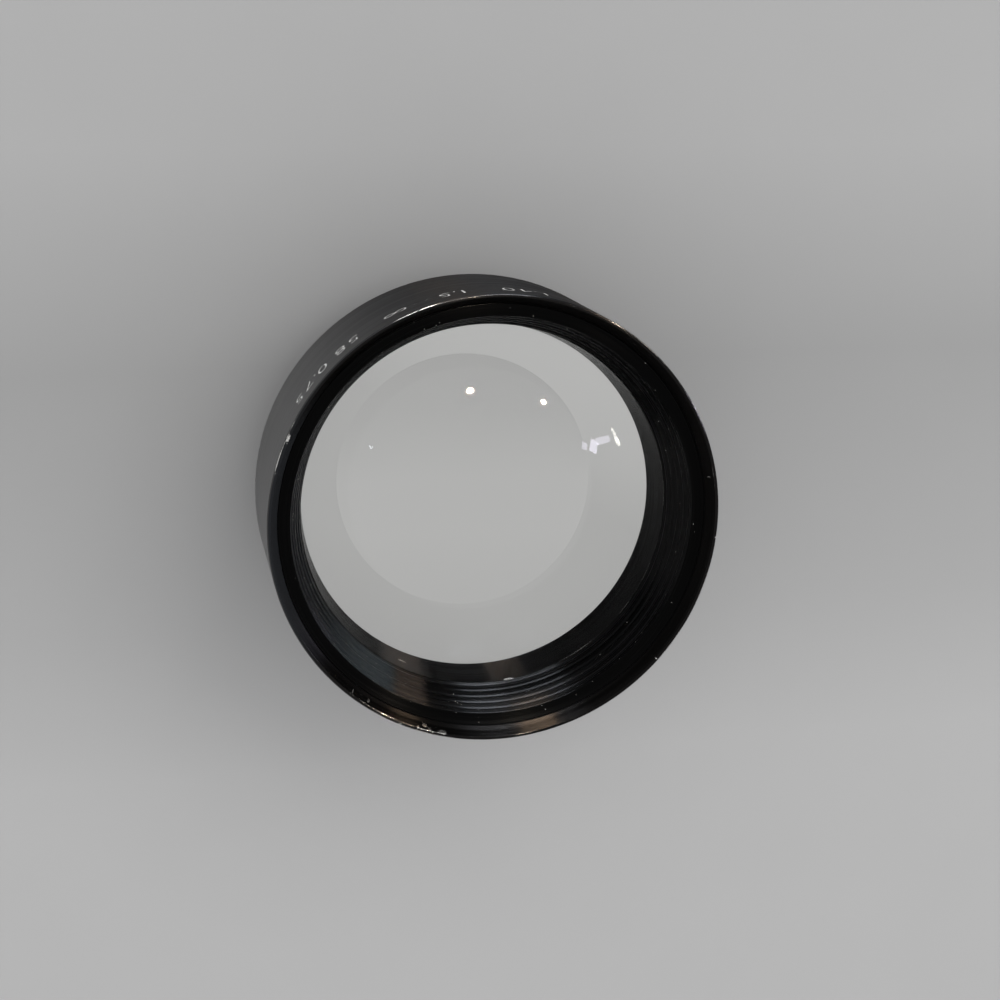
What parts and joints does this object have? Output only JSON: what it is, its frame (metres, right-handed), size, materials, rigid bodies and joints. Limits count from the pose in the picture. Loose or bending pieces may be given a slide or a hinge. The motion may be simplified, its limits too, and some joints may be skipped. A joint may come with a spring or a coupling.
{
  "type": "auxiliary telephoto lens",
  "caption": "Short black screw-in telephoto attachment: a deep bevelled barrel with a large cemented front glass, a plano-concave rear lens and a male rear thread.",
  "frame": {"origin": "centre of the end face of the rear mount thread, on which the lens stands", "axes": "+Z along the optical axis from the camera side to the front rim; +X and +Y are equal across the round body"},
  "size_m": [0.065, 0.065, 0.0375],
  "materials": {
    "black_anodised": "satin black anodised, worn bright at the edges",
    "inner_anodised": "matt black anodised",
    "optical_glass": "polished and coated",
    "shim_brass": "satin",
    "screw_steel": "blackened"
  },
  "bodies": {
    "root": {"front_barrel": "black_anodised", "trim_ring": "inner_anodised", "front_retaining_ring": "inner_anodised", "front_crown_lens": "optical_glass", "front_flint_lens": "optical_glass", "lens_cell": "inner_anodised", "spacer_sleeve": "inner_anodised", "focus_shim": "shim_brass", "rear_lens": "optical_glass", "rear_mount": "black_anodised", "rear_retaining_ring": "inner_anodised", "mount_set_screws": "screw_steel"}
  },
  "joints": []
}
